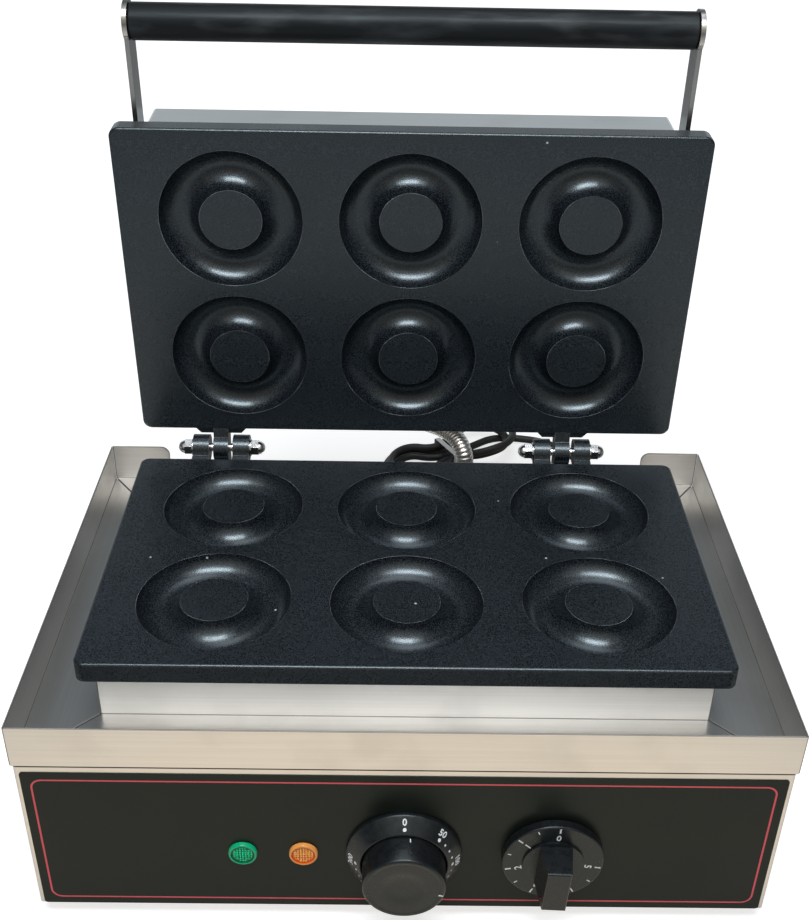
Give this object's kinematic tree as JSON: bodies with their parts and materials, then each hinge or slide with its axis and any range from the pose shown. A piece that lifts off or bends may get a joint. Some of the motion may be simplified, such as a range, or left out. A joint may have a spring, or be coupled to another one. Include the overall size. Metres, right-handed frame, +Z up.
{
  "type": "donut maker",
  "caption": "Countertop donut maker with a hinged lid, ring-mould plates, a folded steel tray, a bar handle, and temperature and timer knobs on the front panel.",
  "frame": {"origin": "middle of the outline, on the surface under the feet", "axes": "+Z up; the control panel faces -Y; +X is to the right seen from the front"},
  "size_m": [0.43, 0.6, 0.4663],
  "materials": {
    "steel": "satin stainless sheet",
    "element": "heat-dulled steel tube",
    "hardware": "bright plated fasteners",
    "cast": "black non-stick coating on cast aluminium",
    "wool": "mineral wool",
    "overlay": "printed black film with a red line",
    "black_plastic": "moulded black plastic",
    "grip": "worn matt black tube",
    "green_lens": "clear green lens",
    "orange_lens": "clear orange lens",
    "rubber": "moulded rubber",
    "brass": "bare tube",
    "ceramic": "white block",
    "wire": "silicone sleeve",
    "cord": "black cord sheath",
    "tie": "white band"
  },
  "bodies": {
    "base": {"base_housing": "steel", "bottom_plate": "steel", "tray_front": "steel", "tray_left": "steel", "tray_right": "steel", "tray_back": "steel", "lower_pan": "steel", "conduit": "steel", "lower_element": "element", "lower_clamps": "element", "foot_screws": "hardware", "lower_studs": "hardware", "hinge_bolt_left": "hardware", "hinge_bolt_right": "hardware", "hinge_washers": "hardware", "hinge_nuts": "hardware", "bush_nuts": "hardware", "conduit_gland_base": "hardware", "lower_plate": "cast", "lower_insulation": "wool", "control_overlay": "overlay", "temperature_dial": "black_plastic", "lamp_nuts": "black_plastic", "thermostat": "black_plastic", "timer": "black_plastic", "green_lamp": "green_lens", "orange_lamp": "orange_lens", "rubber_feet": "rubber", "thermostat_bulb": "brass", "terminal_block": "ceramic", "base_wires": "wire", "mains_lead": "cord", "cord_hank": "cord", "cord_end": "cord", "cord_relief": "cord", "mains_plug": "cord", "cord_tie": "tie"},
    "lid": {"lid_cover": "steel", "handle_strap_left": "steel", "handle_strap_right": "steel", "handle_core": "steel", "upper_element": "element", "upper_clamps": "element", "lid_studs": "hardware", "upper_clamp_nuts": "hardware", "lid_nuts": "hardware", "strap_screws": "hardware", "handle_screws": "hardware", "upper_plate": "cast", "upper_insulation": "wool", "handle_grip": "grip", "conduit_gland_lid": "hardware"},
    "temperature_control": {"temperature_knob": "black_plastic", "temperature_cap": "black_plastic", "thermostat_shaft": "hardware"},
    "timer_control": {"timer_knob": "black_plastic", "timer_shaft": "hardware"}
  },
  "joints": [
    {"name": "lid_hinge", "type": "hinge", "parent": "base", "child": "lid", "pos_m": [0, 0.10021, 0.1705], "axis": [1, 0, 0], "range_deg": [0, 87.5], "deforming": ["conduit"]},
    {"name": "temperature_turn", "type": "hinge", "parent": "base", "child": "temperature_control", "pos_m": [0, -0.15829, 0.0585], "axis": [0, 1, 0], "range_deg": [0, 270]},
    {"name": "timer_turn", "type": "hinge", "parent": "base", "child": "timer_control", "pos_m": [0.0848, -0.15829, 0.0585], "axis": [0, 1, 0], "range_deg": [0, 270]}
  ]
}
